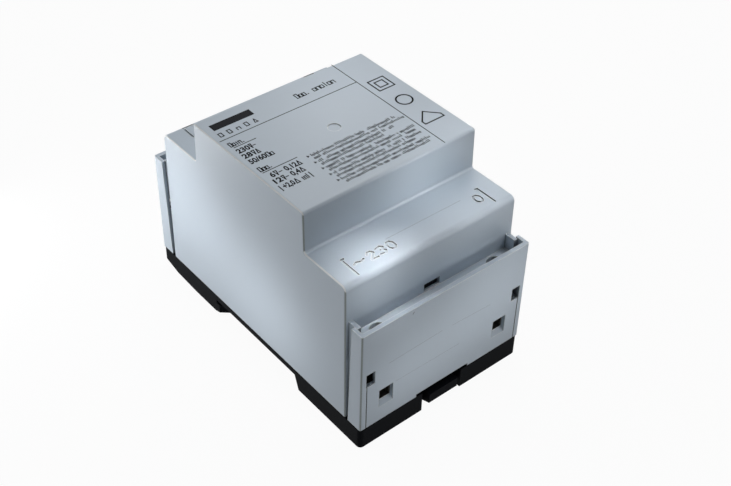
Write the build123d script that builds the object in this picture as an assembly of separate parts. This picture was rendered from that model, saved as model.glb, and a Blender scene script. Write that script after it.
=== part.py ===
from build123d import *
from math import atan2, degrees, radians, tan
import os

# Power supply in a rail-mounted housing. All lengths are in millimetres.
# X runs along the rail, -Y is the mains side, +Z points away from the rail.
# The origin is the middle of the face that lies on the rail.

# Rail and module sizes
module_pitch = 18.0        # width of one rail module
module_count = 3
module_play = 0.6          # left free between neighbours
rail_width = 35.0
rail_flange = 1.0          # sheet thickness of the rail
rail_play = 0.15           # beside each edge of the rail

# Heights above the rail
foot_height = 4.45         # the feet reach this far below the rail face
base_top = 1.8
parting_gap = 0.1
ledge_top = 29.2
cover_top = 33.6
shoulder_top = 44.3
nose_top = 56.0

# Reach from the middle of the rail
base_reach = 43.9
bay_depth = 5.8            # from there back to the foot of the end wall
wall_draft = 0.5           # lean of the end wall, foot to shoulder
nose_foot_reach = 22.5
nose_draft = 0.25

# Housing walls and edges
wall = 1.6
ledge_wall = 1.3
nose_edge = 0.8
shoulder_edge = 1.5
inner_edge = 0.7
side_edge = 0.5
gate_radius = 1.7
gate_depth = 0.25
gate_place = (-0.3, -0.4)

# Sunk marks on the shoulders
mark_depth = 0.4
mark_stroke = 0.6
digit_width = 1.85
digit_height = 2.6
digit_pitch = 2.9
wave_width = 3.0           # of the sign for alternating current
wave_start = 20.1          # from the middle to its outer end
voltage_start = 15.7       # from the middle to the first digit
mark_foot_reach = 33.8     # nearest edge of the digits to the shoulder's edge
bracket_x = 21.4
bracket_near = 29.5
bracket_far = 35.7
bracket_foot = 0.6
rear_bracket_near = 31.7
rear_bracket_far = 36.5
rear_bracket_foot = 3.0

# Terminal covers
cover_wall = 1.2
flank_wall = 0.95
cover_play = 0.1
flank_play = 0.15
flank_depth_top = 3.9      # from the cover's face to the side wall's back edge
flank_depth_foot = 4.8
cover_edge = 0.5
cover_lift = 0.05
notch_half = 8.65
notch_height = 0.85
slit_width = 0.2
slit_inset = 1.8           # from the side of the cover
window_width = 4.3
window_low = 6.7
window_high = 12.5
window_bevel = 1.2
catch_window_width = 2.6
catch_window_x = 23.8
catch_window_low = 16.2
catch_window_high = 20.3
catch_window_skin = 0.35   # the cover is thinned from behind round it
catch_window_rim = 0.3     # beside the window, out to the thinning's edge
catch_play = 0.5
nib_low = 5.0
nib_height = 3.0
nib_setback = 3.9
nib_length = 1.0
nib_proud = 0.4

# Guide ribs of the housing beside each cover
rib_wall = 1.1
rib_drop = 0.15            # rib top under cover top
rib_setback = 3.1          # above the ledge
rib_anchor = 3.1           # behind the end wall's face
rib_notch_depth = 0.6
rib_notch_play = 0.7

# Terminals
terminal_spread = 37.6     # between the outermost terminals
front_count = 2
rear_count = 4
terminal_setback = 3.3     # screw axes behind the cover's face
screw_radius = 1.45
screw_play = 0.05
head_radius = 2.05
head_height = 1.9
screw_slot = 0.7
screw_slot_depth = 0.8
driver_hole_radius = 2.35
clamp_width = 6.0
clamp_depth = 3.8
clamp_side = 0.9
clamp_floor = 1.0
clamp_head = 2.0
clamp_bend = 0.8           # outer radius of the bent strip
clamp_travel = 3.2
clamp_play = 0.3
bar_low = 11.4
bar_height = 1.2
bar_width = 3.6
bar_end_play = 0.3
bar_seat_play = 0.05
wire_space = 3.8           # under the bar with the clamp open
lift_gap = 0.2             # over and under what moves up and down
tip_gap = 0.05

# Terminal blocks
block_depth = 9.6
block_wall = 1.6
block_play = 0.1
block_side_play = 0.2
tower_half = 5.0

# Latch tongues of the base and their slots in the housing
slot_width = 4.96
slot_low = 29.65
slot_high = 31.75
tongue_half = 2.2
tongue_wall = 1.3
tongue_nose = 1.2
tongue_nose_face = 0.7
tongue_play = 0.15

# Base
toe_reach = 19.2           # inner end of the front foot's flat
heel_reach = 18.3          # inner end of the rear foot's flat
rear_flat_setback = 15.4   # from the rear end in to the foot's flat
rear_rise_setback = 6.6
rear_rise = 0.5
rear_lift = 2.15
foot_edge = 1.2
hook_reach = 14.1          # tip of each hook
hook_play = 0.2            # under the rail's flange
hook_edge = 0.4
hook_face = 1.8
hook_slope = 0.45
hook_slope_reach = 16.4
hook_end_x = 1.9
hook_end_y = 2.25
foot_floor = 1.6
foot_wall = 1.6
cross_rib_setback = 9.3
cross_rib_wall = 1.2
toe_wall = 1.4
post_margin = 0.7          # between a board post and the foot's pocket
gap_half = 6.5
gap_depth = 2.4

# Rail clip
clip_half = 4.75
clip_play = 0.2
clip_top = 0.65
tab_proud = 0.75           # beyond the base
tab_low = 2.3              # below the rail face
tab_slope = 4.0
clip_low = 3.85
clip_nose_play = 0.2       # behind the toe's flat
clip_nose_rise = 0.45
clip_nose_face = 1.0
clip_rib_half = 6.2
clip_rib_low = 2.0
clip_rib_high = 0.8
clip_rib_setback = 4.9
clip_rib_back = 24.0
pocket_half = 2.9
pocket_front = 37.5
pocket_back = 24.0
stop_half = 2.4
stop_wall = 1.5
stop_low = 3.6
stop_play = 0.3
spring_radius = 1.9
wire_radius = 0.22
spring_turns = 8
spring_centre = 1.5        # below the rail face
spring_play = 0.1

# Transformer
core_width = 48.0
core_leg = 8.0
core_height = 40.0
core_stack = 22.0
core_lift = 2.05           # height of the base ribs under it
core_rib_near = 17.0
core_rib_far = 23.5
core_post_near = 18.0
core_post_far = 22.0
core_post_wall = 1.2
core_post_top = 8.0
core_play = 0.15
hold_rib_x = 20.0
hold_rib_wall = 1.2
hold_rib_half = 9.0
bobbin_play = 0.2
bobbin_wall = 0.8
bobbin_flange = 1.0
bobbin_side_play = 0.4
winding_rise = 7.55        # build of the winding beyond the core's faces
winding_inset = 0.75       # under the edge of the flanges
winding_play = 0.05
winding_end_play = 0.1
winding_edge = 2.0
tape_wall = 0.3
pin_rail_depth = 1.6
pin_rail_height = 2.0
pin_rail_half = 13.5
pin_radius = 0.4
pin_hole_play = 0.05
pin_seat = 1.1             # depth of a pin in its rail
rear_pins = (-12.0, -2.2, 2.2, 12.0)
fuse_disc_radius = 4.2
fuse_disc_height = 2.4
fuse_lead_radius = 0.3
fuse_lead_x = 3.0

# Circuit board and its parts
board_near = 23.0
board_wall = 1.6
board_half = 23.2
board_foot = 3.0
board_head = 41.0
board_play = 0.1
board_post_top = 10.0
board_post_wall = 1.2
board_post_in = 21.5
board_post_out = 24.6
pin_proud = 0.8
parts_height = 33.6        # middle of the parts on the board
lead_radius = 0.35
hole_play = 0.1
standoff = 0.3
diode_radius = 1.35
diode_length = 5.2
diode_pitch = 4.0
diode_count = 4
diode_lead = 2.0
capacitor_radius = 4.0
capacitor_gap = 0.7        # to the end wall
capacitor_x = -14.0
capacitor_pitch = 3.5
disc_gap = 0.6             # to the end wall
disc_wall = 3.2
disc_x = 14.0
disc_lead_inset = 1.9      # from the disc's rim
disc_standoff = 2.0
disc_lead_bury = 1.2
bar_tail_gap = 1.4         # from the board to the bar's shoulder
bar_tail_half = 0.8

# Mains leads
lead_x = 9.0
insulation_radius = 0.8
lead_pin_length = 1.6
bend_share = 0.45          # of the shorter run, taken up by each bend
lead_forward = 3.6
lead_middle = (13.5, -28.6, 24.0)
lead_drop = 6.4
mains_bar_proud = 3.5      # behind the terminal block
lead_landing_proud = 1.8

# How far a cut or a joined piece runs past its face
spare = 1.0

# Sizes that follow
body_width = module_pitch * module_count - module_play
half_width = body_width / 2
housing_foot = base_top + parting_gap
cover_foot = housing_foot + cover_lift
cover_reach = base_reach
wall_foot_reach = base_reach - bay_depth
wall_head_reach = wall_foot_reach - wall_draft
nose_head_reach = nose_foot_reach - nose_draft
end_wall_inside = wall_head_reach - wall
tongue_reach = end_wall_inside
flank_back_top = cover_reach - flank_depth_top
flank_back_foot = cover_reach - flank_depth_foot
nib_reach = cover_reach - nib_setback
rib_reach = cover_reach - rib_setback
rib_root = wall_foot_reach - rib_anchor
terminal_reach = cover_reach - terminal_setback
cover_inner_reach = cover_reach - cover_wall
bay_reach = cover_inner_reach - cover_play
block_back = bay_reach - block_depth
mains_bar_reach = block_back - mains_bar_proud
lead_landing = block_back - lead_landing_proud
flank_in = half_width - flank_wall
rib_out = flank_in - flank_play
rib_in = rib_out - rib_wall
rib_top = cover_top - rib_drop
ledge_low = ledge_top - ledge_wall
block_top = ledge_low - block_play
block_side = rib_in - block_side_play
rail_half = rail_width / 2 + rail_play
hook_top = -rail_flange - hook_play
rear_flat_end = base_reach - rear_flat_setback
rear_rise_reach = base_reach - rear_rise_setback
cross_rib_far = base_reach - cross_rib_setback
cross_rib_near = cross_rib_far - cross_rib_wall
front_pocket_near = toe_reach + toe_wall
tab_reach = base_reach + tab_proud
tab_slope_end = tab_reach - tab_slope
clip_nose_start = toe_reach + clip_nose_play
clip_rib_front = base_reach - clip_rib_setback
bar_high = bar_low + bar_height
clamp_low = bar_low - wire_space - clamp_floor
clamp_window_top = bar_high + lift_gap
clamp_high = clamp_window_top + clamp_head
pocket_floor = clamp_low - lift_gap
pocket_ceiling = clamp_high + clamp_travel + lift_gap
head_low = pocket_ceiling + lift_gap
core_low = base_top + core_lift
core_high = core_low + core_height
core_split = core_high - core_leg
stack_half = core_stack / 2
bobbin_low = core_low + core_leg + bobbin_play / 2
bobbin_high = core_split - bobbin_play / 2
bobbin_middle = (bobbin_low + bobbin_high) / 2
tube_half_x = core_leg + bobbin_play + bobbin_wall
tube_half_y = stack_half + bobbin_play + bobbin_wall
bobbin_half_x = core_width / 2 - core_leg - bobbin_side_play
winding_half_x = bobbin_half_x - winding_inset
winding_half_y = tube_half_y + winding_rise
bobbin_half_y = winding_half_y + winding_inset
pin_rail_reach = bobbin_half_y + pin_rail_depth
board_far = board_near + board_wall
bar_tail_reach = board_far + bar_tail_gap
rear_pocket_near = board_far + board_play + board_post_wall + post_margin
board_back = board_near - pin_proud
mains_pin_z = bobbin_high - pin_rail_height / 2
board_pin_z = bobbin_low + pin_rail_height / 2
lead_start = pin_rail_reach + lead_pin_length
capacitor_low = board_far + standoff
capacitor_length = end_wall_inside - capacitor_gap - capacitor_low
disc_radius = (end_wall_inside - disc_gap - board_far - disc_standoff) / 2
disc_pitch = 2 * (disc_radius - disc_lead_inset)
disc_reach = board_far + disc_standoff + disc_radius
diode_reach = board_far + standoff + diode_radius
diode_span = diode_length / 2 + diode_lead


def block(x, y, z):
    """A box from a low and a high value on each axis."""
    size = (x[1] - x[0], y[1] - y[0], z[1] - z[0])
    middle = ((x[0] + x[1]) / 2, (y[0] + y[1]) / 2, (z[0] + z[1]) / 2)
    return Pos(*middle) * Box(*size)


def both_sides(x, y, z):
    """The same box at plus and minus X."""
    return block(x, y, z) + block((-x[1], -x[0]), y, z)


def bar_z(x, y, z, radius):
    """A round bar along Z, from z[0] to z[1]."""
    return Pos(x, y, (z[0] + z[1]) / 2) * Cylinder(radius, z[1] - z[0])


def bar_y(x, y, z, radius):
    """A round bar along Y, from y[0] to y[1]."""
    return Pos(x, (y[0] + y[1]) / 2, z) * Rot(90, 0, 0) * Cylinder(radius, y[1] - y[0])


def bar_x(x, y, z, radius):
    """A round bar along X, from x[0] to x[1]."""
    return Pos((x[0] + x[1]) / 2, y, z) * Rot(0, 90, 0) * Cylinder(radius, x[1] - x[0])


def side_shape(points, x):
    """A solid with a side outline of (y, z) points, from x[0] to x[1]."""
    face = Plane.YZ * Polygon(*points, align=None)
    return Pos(x[0], 0, 0) * extrude(face, x[1] - x[0], dir=(1, 0, 0))


def ring(half_x, half_y, edge, z):
    """A rounded block about the Z axis."""
    face = Pos(0, 0, z[0]) * RectangleRounded(2 * half_x, 2 * half_y, edge)
    return extrude(face, z[1] - z[0])


def terminal_places(count):
    """X of each terminal of one row."""
    step = terminal_spread / (count - 1)
    return [-terminal_spread / 2 + step * place for place in range(count)]


def at_rear(solid):
    """The same piece on the low-voltage side."""
    return mirror(solid, about=Plane.XZ)


def wall_reach(z):
    """Outer face of the housing's end wall at a height."""
    share = (z - housing_foot) / (shoulder_top - housing_foot)
    return wall_foot_reach - (wall_foot_reach - wall_head_reach) * share


# Sunk marks

GLYPHS = {
    "0": [[(0, 0.3), (0, 0.7), (0.3, 1), (0.7, 1), (1, 0.7), (1, 0.3), (0.7, 0), (0.3, 0), (0, 0.3)]],
    "1": [[(0.2, 0.75), (0.6, 1), (0.6, 0)]],
    "2": [[(0, 0.75), (0.3, 1), (0.7, 1), (1, 0.72), (0, 0), (1, 0)]],
    "3": [[(0, 0.9), (0.7, 1), (1, 0.78), (0.7, 0.53), (0.4, 0.53)],
          [(0.7, 0.53), (1, 0.28), (0.7, 0), (0, 0.1)]],
    "6": [[(0.9, 1), (0.3, 0.75), (0, 0.3), (0.3, 0), (0.7, 0), (1, 0.3), (0.7, 0.55), (0.1, 0.5)]],
    "-": [[(0.1, 0.5), (0.9, 0.5)]],
    "+": [[(0.1, 0.5), (0.9, 0.5)], [(0.5, 0.2), (0.5, 0.8)]],
}


def stroke(points):
    """A pen line of the mark's width through a row of points."""
    line = Sketch()
    for start, end in zip(points, points[1:]):
        run = Vector(*end) - Vector(*start)
        middle = (Vector(*start) + Vector(*end)) / 2
        turn = degrees(atan2(run.Y, run.X))
        line += Pos(middle) * Rot(0, 0, turn) * SlotCenterToCenter(run.length, mark_stroke)
    return line


def digits(text, x, y):
    """A row of digits whose lower left corner is at x and y."""
    row = Sketch()
    for place, sign in enumerate(text):
        left = x + place * digit_pitch
        for line in GLYPHS.get(sign, []):
            row += stroke([(left + u * digit_width, y + v * digit_height) for u, v in line])
    return row


def wave(x, y):
    """The sign for alternating current, level with the middle of the digits."""
    shape = [(0, 0.42), (0.3, 0.6), (0.7, 0.4), (1, 0.58)]
    return stroke([(x + u * wave_width, y + v * digit_height) for u, v in shape])


def sunk(marks):
    """The cut that sinks flat marks into a shoulder."""
    return extrude(Pos(0, 0, shoulder_top) * marks, mark_depth, dir=(0, 0, -1))


def mains_marks():
    """Bracketed mains voltage over one terminal, zero over the other."""
    marks = wave(-wave_start, -mark_foot_reach)
    marks += digits("230", -voltage_start, -mark_foot_reach)
    marks += digits("0", terminal_spread / 2 - digit_width / 2, -mark_foot_reach)
    for side in (-1, 1):
        edge = side * bracket_x
        foot = edge - side * bracket_foot
        marks += stroke([(foot, -bracket_near), (edge, -bracket_near), (edge, -bracket_far)])
    return marks


def output_marks():
    """One mark over each output terminal, read from the rear."""
    marks = Sketch()
    for sign, x in zip(("-", "+", "12", "0"), terminal_places(rear_count)):
        marks += digits(sign, x - (len(sign) - 1) * digit_pitch / 2 - digit_width / 2, -mark_foot_reach)
    marks = Rot(0, 0, 180) * marks
    for side in (-1, 1):
        edge = side * bracket_x
        foot = edge - side * rear_bracket_foot
        marks += stroke([(foot, rear_bracket_far), (edge, rear_bracket_far), (edge, rear_bracket_near)])
    return marks


# Housing

def housing_points(inset, foot):
    """Side outline of the housing with its walls taken off by the inset."""
    half = [
        (wall_foot_reach - inset, foot),
        (wall_head_reach - inset, shoulder_top - inset),
        (nose_foot_reach - inset, shoulder_top - inset),
        (nose_head_reach - inset, nose_top - inset),
    ]
    return half + [(-y, z) for y, z in reversed(half)]


def housing_block():
    """The housing's outside, with every edge but the foot's rounded."""
    body = side_shape(housing_points(0, housing_foot), (-half_width, half_width))
    along = body.edges().filter_by(Axis.X)
    noses = [e for e in along if e.center().Z > nose_top - 1]
    shoulders = [e for e in along if abs(e.center().Y) > nose_foot_reach + spare and e.center().Z > ledge_top]
    corners = [e for e in along if e not in noses + shoulders and e.center().Z > ledge_top]
    body = fillet(noses, nose_edge)
    body = fillet(nearest(body, shoulders), shoulder_edge)
    body = fillet(nearest(body, corners), inner_edge)
    rims = []
    for face in body.faces().filter_by(Axis.X):
        rims += [e for e in face.edges() if e.center().Z > housing_foot + parting_gap]
    return fillet(rims, side_edge)


def nearest(body, wanted):
    """The edges of a body that lie where earlier edges lay."""
    return [body.edges().sort_by_distance(edge.center())[0] for edge in wanted]


def bay(count):
    """Ledge and guide ribs that one row of terminals needs."""
    inner = wall_reach(ledge_top) - wall
    body = block((-rib_out, rib_out), (-bay_reach, -inner), (ledge_low, ledge_top))
    body += both_sides((rib_in, rib_out), (-bay_reach, -rib_root), (housing_foot, ledge_top))
    body += both_sides((rib_in, rib_out), (-rib_reach, -inner), (ledge_top, rib_top))
    for x in terminal_places(count):
        body -= bar_z(x, -terminal_reach, (ledge_low - spare, ledge_top + spare), driver_hole_radius)
    notch_back = nib_reach - rib_notch_play
    body -= both_sides((rib_out - rib_notch_depth, rib_out + spare), (-bay_reach - spare, -notch_back),
                       (nib_low - rib_notch_play, nib_low + nib_height + rib_notch_play))
    catch_back = terminal_reach - clamp_depth / 2
    body -= both_sides((rib_in - spare, rib_out + spare), (-bay_reach - spare, -catch_back),
                       (catch_window_low - catch_play, catch_window_high + catch_play))
    return body


def bay_cut():
    """The doorway in the end wall behind a bay, and the latch slot."""
    inner = end_wall_inside - spare
    doorway = block((-rib_in, rib_in), (-wall_foot_reach - spare, -inner),
                    (housing_foot - spare, ledge_low))
    slot = block((-slot_width / 2, slot_width / 2), (-wall_foot_reach - spare, -inner),
                 (slot_low, slot_high))
    return doorway + slot


def make_housing():
    """Light grey upper moulding."""
    body = housing_block()
    body -= side_shape(housing_points(wall, housing_foot - spare), (-half_width + wall, half_width - wall))
    body -= bay_cut()
    body -= at_rear(bay_cut())
    body += bay(front_count)
    body += at_rear(bay(rear_count))
    body += both_sides((hold_rib_x - hold_rib_wall / 2, hold_rib_x + hold_rib_wall / 2),
                       (-hold_rib_half, hold_rib_half), (core_high + core_play, nose_top - wall / 2))
    body -= sunk(mains_marks())
    body -= sunk(output_marks())
    body -= bar_z(*gate_place, (nose_top - gate_depth, nose_top + spare), gate_radius)
    return body


# Base and rail catch

def base_outline():
    """Side outline of the base, from the front foot round to the rear one."""
    low = -foot_height
    return [
        (-base_reach, base_top),
        (-base_reach, low),
        (-toe_reach, low),
        (-rail_half, 0),
        (rail_half, 0),
        (rail_half, hook_top),
        (hook_reach + hook_edge, hook_top),
        (hook_reach, hook_top - hook_edge),
        (hook_reach, hook_top - hook_edge - hook_face),
        (hook_slope_reach, hook_top - hook_edge - hook_face - hook_slope),
        (heel_reach, low),
        (rear_flat_end, low),
        (rear_rise_reach, low + rear_rise),
        (base_reach, low + rear_lift),
        (base_reach, base_top),
    ]


def hook_end():
    """The slanted cut at one end of the rear hook."""
    edge = half_width + spare
    tip = hook_reach - spare
    slope = hook_end_y / hook_end_x
    start = half_width - hook_end_x - spare / slope
    points = [(start, tip), (edge, tip), (edge, hook_reach + hook_end_y + slope)]
    return Pos(0, 0, -foot_height - spare) * extrude(Polygon(*points, align=None),
                                                     foot_height + spare + hook_top / 2)


def clip_way():
    """The space that the rail clip slides in, with the gap in the front wall."""
    back = -rail_half + rail_play / 2
    side = clip_half + clip_play
    way = block((-side, side), (-base_reach - spare, back), (-foot_height - spare, clip_top + clip_play))
    way += block((-gap_half, gap_half), (-base_reach - spare, -base_reach + gap_depth),
                 (-foot_height - spare, base_top + spare))
    groove = clip_rib_half + clip_play
    way += block((-groove, groove), (-base_reach, -toe_reach),
                 (-clip_rib_low - clip_play, -clip_rib_high + clip_play))
    return way


def foot_pockets():
    """Hollows that keep the feet's walls even, open to the inside."""
    outer = half_width - foot_wall
    near = clip_rib_half + clip_play + foot_wall
    end = base_reach - foot_wall
    rear_near = tongue_half + foot_wall / 2
    floor = -foot_height + foot_floor
    top = base_top + spare
    hollow = both_sides((near, outer), (-end, -cross_rib_far), (floor, top))
    hollow += both_sides((near, outer), (-cross_rib_near, -front_pocket_near), (floor, top))
    hollow += both_sides((rear_near, outer), (rear_pocket_near, cross_rib_near),
                         (floor + rear_rise / 2, top))
    hollow += both_sides((rear_near, outer), (cross_rib_far, end), (floor + rear_lift, top))
    return hollow


def tongue():
    """A springy latch that snaps into the housing's slot."""
    low = slot_low + tongue_play
    high = slot_high - tongue_play
    stem = block((-tongue_half, tongue_half), (-tongue_reach, -tongue_reach + tongue_wall),
                 (base_top - spare, high))
    nose = [
        (-tongue_reach, low),
        (-tongue_reach - tongue_nose, low),
        (-tongue_reach - tongue_nose, low + tongue_nose_face),
        (-tongue_reach, high),
    ]
    return stem + side_shape(nose, (-tongue_half, tongue_half))


def board_posts():
    """Slotted posts that hold the circuit board's foot."""
    near = board_near - board_play
    far = board_far + board_play
    low = base_top - spare
    posts = both_sides((board_post_in, board_post_out), (near - board_post_wall, far + board_post_wall),
                       (low, board_post_top))
    posts -= both_sides((board_post_in - spare, board_half + board_play), (near, far),
                        (board_foot, board_post_top + spare))
    return posts


def core_seats():
    """Ribs under the core and posts against its faces."""
    seats = both_sides((core_rib_near, core_rib_far), (-stack_half, stack_half),
                       (base_top - spare, core_low))
    near = stack_half + core_play
    for y in ((near, near + core_post_wall), (-near - core_post_wall, -near)):
        seats += both_sides((core_post_near, core_post_far), y, (base_top - spare, core_post_top))
    return seats


def make_base():
    """Black lower moulding with the rail channel."""
    body = side_shape(base_outline(), (-half_width, half_width))
    uprights = body.edges().filter_by(Axis.Z).filter_by(lambda e: abs(e.center().Y) > base_reach - spare)
    body = fillet(uprights, foot_edge)
    end = hook_end()
    body -= end
    body -= mirror(end, about=Plane.YZ)
    body -= foot_pockets()
    body -= clip_way()
    stop_front = -pocket_front + stop_play
    body += block((-stop_half, stop_half), (stop_front, stop_front + stop_wall), (-stop_low, base_top))
    body += tongue()
    body += at_rear(tongue())
    body += board_posts()
    body += core_seats()
    return body


def make_clip():
    """Sliding catch that grips the rail's front edge."""
    nose_low = -clip_low + clip_nose_rise
    points = [
        (-tab_reach, clip_top),
        (-tab_reach, -tab_low),
        (-tab_slope_end, -clip_low),
        (-clip_nose_start, -clip_low),
        (-hook_reach - clip_nose_face, nose_low),
        (-hook_reach, nose_low + clip_nose_face),
        (-hook_reach, hook_top - hook_edge),
        (-hook_reach - hook_edge, hook_top),
        (-rail_half, hook_top),
        (-rail_half, clip_top),
    ]
    body = side_shape(points, (-clip_half, clip_half))
    body += block((-clip_rib_half, clip_rib_half), (-clip_rib_front, -clip_rib_back),
                  (-clip_rib_low, -clip_rib_high))
    body -= block((-pocket_half, pocket_half), (-pocket_front, -pocket_back),
                  (-clip_low - spare, clip_top + spare))
    return body


def make_spring():
    """Round-wire compression spring between the stop and the clip."""
    start = -pocket_front + stop_play + stop_wall + spring_play + wire_radius
    end = -pocket_back - spring_play - wire_radius
    length = end - start
    coil = Helix(length / spring_turns, length, spring_radius, center=(0, start, -spring_centre),
                 direction=(0, 1, 0))
    section = Plane(origin=coil @ 0, z_dir=coil % 0) * Circle(wire_radius)
    return sweep(section, path=coil, is_frenet=True)


# Terminal covers, blocks and terminals

def window_cut(x):
    """A wire window with a sloping sill."""
    half = window_width / 2
    front = cover_reach + spare
    sill = window_low + window_bevel
    opening = block((x - half, x + half), (-front, -cover_inner_reach + spare), (sill, window_high))
    slope = window_bevel / cover_wall
    wedge = [(-front, sill), (-cover_inner_reach, sill), (-cover_reach, window_low),
             (-front, window_low - slope)]
    return opening + side_shape(wedge, (x - half, x + half))


def make_cover(count):
    """Terminal cover with side walls that slide over the guide ribs."""
    outline = [
        (-cover_reach, cover_foot),
        (-cover_reach, cover_top),
        (-flank_back_top, cover_top),
        (-flank_back_foot, cover_foot),
    ]
    body = side_shape(outline, (-half_width, half_width))
    corners = body.edges().filter_by(Axis.Z).filter_by(lambda e: e.center().Y < -cover_reach + cover_edge)
    body = fillet(corners, cover_edge)
    inside = (-cover_inner_reach, -flank_back_foot + spare)
    body -= block((-flank_in, flank_in), inside, (cover_foot - spare, cover_top + spare))
    nib = (flank_in - nib_proud, flank_in + nib_proud / 2)
    body += both_sides(nib, (-nib_reach - nib_length, -nib_reach), (nib_low, nib_low + nib_height))
    through = (-cover_reach - spare, -cover_inner_reach + 0.5 * cover_wall)
    for x in terminal_places(count):
        body -= window_cut(x)
    catch = catch_window_width / 2
    body -= both_sides((catch_window_x - catch, catch_window_x + catch), through,
                       (catch_window_low, catch_window_high))
    thinned = catch + catch_window_rim
    body -= both_sides((catch_window_x - thinned, catch_window_x + thinned),
                       (-cover_reach + catch_window_skin, -cover_inner_reach + spare),
                       (catch_window_low - catch_window_rim, catch_window_high + catch_window_rim))
    slit_x = half_width - slit_inset
    body -= both_sides((slit_x - slit_width / 2, slit_x + slit_width / 2), through,
                       (cover_foot - spare, catch_window_low + catch_window_rim))
    body -= block((-notch_half, notch_half), through, (cover_foot - spare, cover_foot + notch_height))
    return body


def make_block(count):
    """Insulating carrier with a pocket for each clamp."""
    places = terminal_places(count)
    front = -bay_reach - spare
    back = -block_back + spare
    body = block((-block_side, block_side), (-bay_reach, -block_back), (base_top, block_top))
    for left, right in zip(places, places[1:]):
        gap = (left + tower_half, right - tower_half)
        body -= block(gap, (-bay_reach + block_wall, back), (base_top + block_wall, block_top + spare))
    side = tongue_half + 2 * tongue_play
    body -= block((-side, side), (-tongue_reach - 2 * tongue_play, back),
                  (base_top - spare, block_top + spare))
    pocket_half_x = clamp_width / 2 + clamp_play
    pocket_end = -terminal_reach + clamp_depth / 2 + clamp_play
    bar_half = bar_width / 2 + bar_seat_play
    for x in places:
        body -= block((x - pocket_half_x, x + pocket_half_x), (front, pocket_end),
                      (pocket_floor, pocket_ceiling))
        body -= bar_z(x, -terminal_reach, (pocket_ceiling - spare, block_top + spare), driver_hole_radius)
        body -= block((x - bar_half, x + bar_half), (pocket_end - spare, back),
                      (bar_low - bar_seat_play, bar_high + bar_seat_play))
    catch = catch_window_x - catch_window_width / 2
    body -= both_sides((catch, block_side + spare), (front, pocket_end),
                       (catch_window_low - catch_play, catch_window_high + catch_play))
    return body


def make_clamp(x):
    """Bent strip that the screw pulls up under the contact bar."""
    half = clamp_width / 2
    y = (-terminal_reach - clamp_depth / 2, -terminal_reach + clamp_depth / 2)
    body = block((x - half, x + half), y, (clamp_low, clamp_high))
    body = fillet(body.edges().filter_by(Axis.Y), clamp_bend)
    body -= block((x - half + clamp_side, x + half - clamp_side), (y[0] - spare, y[1] + spare),
                  (clamp_low + clamp_floor, clamp_window_top))
    body -= bar_z(x, -terminal_reach, (clamp_window_top - spare, clamp_high + spare),
                  screw_radius + screw_play)
    return body


def make_screw(x):
    """Slotted terminal screw that stands on the contact bar."""
    body = bar_z(x, -terminal_reach, (bar_high + tip_gap, head_low + head_height / 2), screw_radius)
    body += bar_z(x, -terminal_reach, (head_low, head_low + head_height), head_radius)
    half = screw_slot / 2
    reach = terminal_reach + head_radius + spare
    back = terminal_reach - head_radius - spare
    body -= block((x - half, x + half), (-reach, -back),
                  (head_low + head_height - screw_slot_depth, head_low + head_height + spare))
    return body


def make_contact(x, reach):
    """Flat contact bar from inside the clamp to its wire or board."""
    half = bar_width / 2
    front = terminal_reach + clamp_depth / 2 - bar_end_play
    return block((x - half, x + half), (-front, -reach), (bar_low, bar_high))


def make_board_contact(x):
    """Contact bar with a tail through the circuit board."""
    tail = block((x - bar_tail_half, x + bar_tail_half), (-bar_tail_reach - spare, -board_back),
                 (bar_low, bar_high))
    return make_contact(x, bar_tail_reach) + tail


# Transformer

def make_core_e():
    """Lower steel pack, with three legs."""
    half = core_width / 2
    body = block((-half, half), (-stack_half, stack_half), (core_low, core_split))
    body -= both_sides((core_leg, half - core_leg), (-stack_half - spare, stack_half + spare),
                       (core_low + core_leg, core_split + spare))
    return body


def make_core_i():
    """Upper steel pack that closes the legs."""
    half = core_width / 2
    return block((-half, half), (-stack_half, stack_half), (core_split, core_high))


def make_bobbin():
    """Two-chamber coil former with a pin rail at each end."""
    body = block((-tube_half_x, tube_half_x), (-tube_half_y, tube_half_y), (bobbin_low, bobbin_high))
    half = bobbin_wall / 2
    plates = (
        (bobbin_low, bobbin_low + bobbin_flange),
        (bobbin_middle - half, bobbin_middle + half),
        (bobbin_high - bobbin_flange, bobbin_high),
    )
    for z in plates:
        body += block((-bobbin_half_x, bobbin_half_x), (-bobbin_half_y, bobbin_half_y), z)
    rail = (-pin_rail_half, pin_rail_half)
    body += block(rail, (-pin_rail_reach, -bobbin_half_y), (bobbin_high - pin_rail_height, bobbin_high))
    body += block(rail, (bobbin_half_y, pin_rail_reach), (bobbin_low, bobbin_low + pin_rail_height))
    hole = pin_radius + pin_hole_play
    for x in (-lead_x, lead_x):
        body -= bar_y(x, (-pin_rail_reach - spare, -pin_rail_reach + pin_seat), mains_pin_z, hole)
    for x in rear_pins:
        body -= bar_y(x, (pin_rail_reach - pin_seat, pin_rail_reach + spare), board_pin_z, hole)
    x = core_leg + bobbin_play
    y = stack_half + bobbin_play
    body -= block((-x, x), (-y, y), (bobbin_low - spare, bobbin_high + spare))
    return body


def chamber(upper):
    """Height range of one winding."""
    half = bobbin_wall / 2 + winding_end_play
    if upper:
        return (bobbin_middle + half, bobbin_high - bobbin_flange - winding_end_play)
    return (bobbin_low + bobbin_flange + winding_end_play, bobbin_middle - half)


def make_winding(upper):
    """Wound copper in one chamber."""
    z = chamber(upper)
    body = ring(winding_half_x, winding_half_y, winding_edge, z)
    x = tube_half_x + winding_play
    y = tube_half_y + winding_play
    return body - block((-x, x), (-y, y), (z[0] - spare, z[1] + spare))


def make_tape(upper):
    """Insulating tape round one winding."""
    z = chamber(upper)
    inner = winding_play
    outer = winding_play + tape_wall
    body = ring(winding_half_x + outer, winding_half_y + outer, winding_edge + outer, z)
    return body - ring(winding_half_x + inner, winding_half_y + inner, winding_edge + inner,
                       (z[0] - spare, z[1] + spare))


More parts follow.
